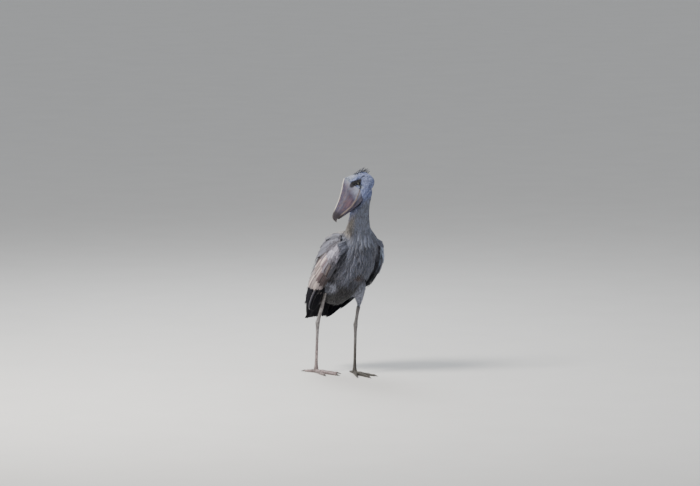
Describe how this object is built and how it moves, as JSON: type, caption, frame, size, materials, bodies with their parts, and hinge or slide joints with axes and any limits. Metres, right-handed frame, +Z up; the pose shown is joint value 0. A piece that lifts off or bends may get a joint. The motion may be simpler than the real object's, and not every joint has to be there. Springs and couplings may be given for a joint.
{
  "type": "standing shoebill",
  "caption": "Standing stork-like bird with a very broad hooked bill, head turned to its right, folded wings, long bare legs and long toes.",
  "frame": {"origin": "on the floor, under the middle of the bird's box", "axes": "+Z up, the bird's body faces -Y, its left side is +X"},
  "size_m": [0.3866, 0.4714, 1.1194],
  "materials": {
    "body_feathers": "soft grey feathers",
    "head_feathers": "short blue-grey feathers",
    "wing_feathers": "grey feathers with pale edges, black flight feathers",
    "tail_feathers": "dark slate feathers",
    "bill": "dry horn, mottled",
    "eye": "wet and glossy",
    "leg_skin": "scaly dry skin",
    "claw": "worn dark horn"
  },
  "bodies": {
    "root": {"bill_lower": "bill", "bill_upper": "bill", "claw_hind_left": "claw", "claw_hind_right": "claw", "claw_inner_left": "claw", "claw_inner_right": "claw", "claw_middle_left": "claw", "claw_middle_right": "claw", "claw_outer_left": "claw", "claw_outer_right": "claw", "eye_left": "eye", "eye_right": "eye", "head": "head_feathers", "neck": "body_feathers", "shank_left": "leg_skin", "shank_right": "leg_skin", "tail": "tail_feathers", "tarsus_left": "leg_skin", "tarsus_right": "leg_skin", "thigh_left": "body_feathers", "thigh_right": "body_feathers", "toe_hind_left": "leg_skin", "toe_hind_right": "leg_skin", "toe_inner_left": "leg_skin", "toe_inner_right": "leg_skin", "toe_middle_left": "leg_skin", "toe_middle_right": "leg_skin", "toe_outer_left": "leg_skin", "toe_outer_right": "leg_skin", "torso": "body_feathers", "wing_left": "wing_feathers", "wing_right": "wing_feathers"}
  },
  "joints": []
}
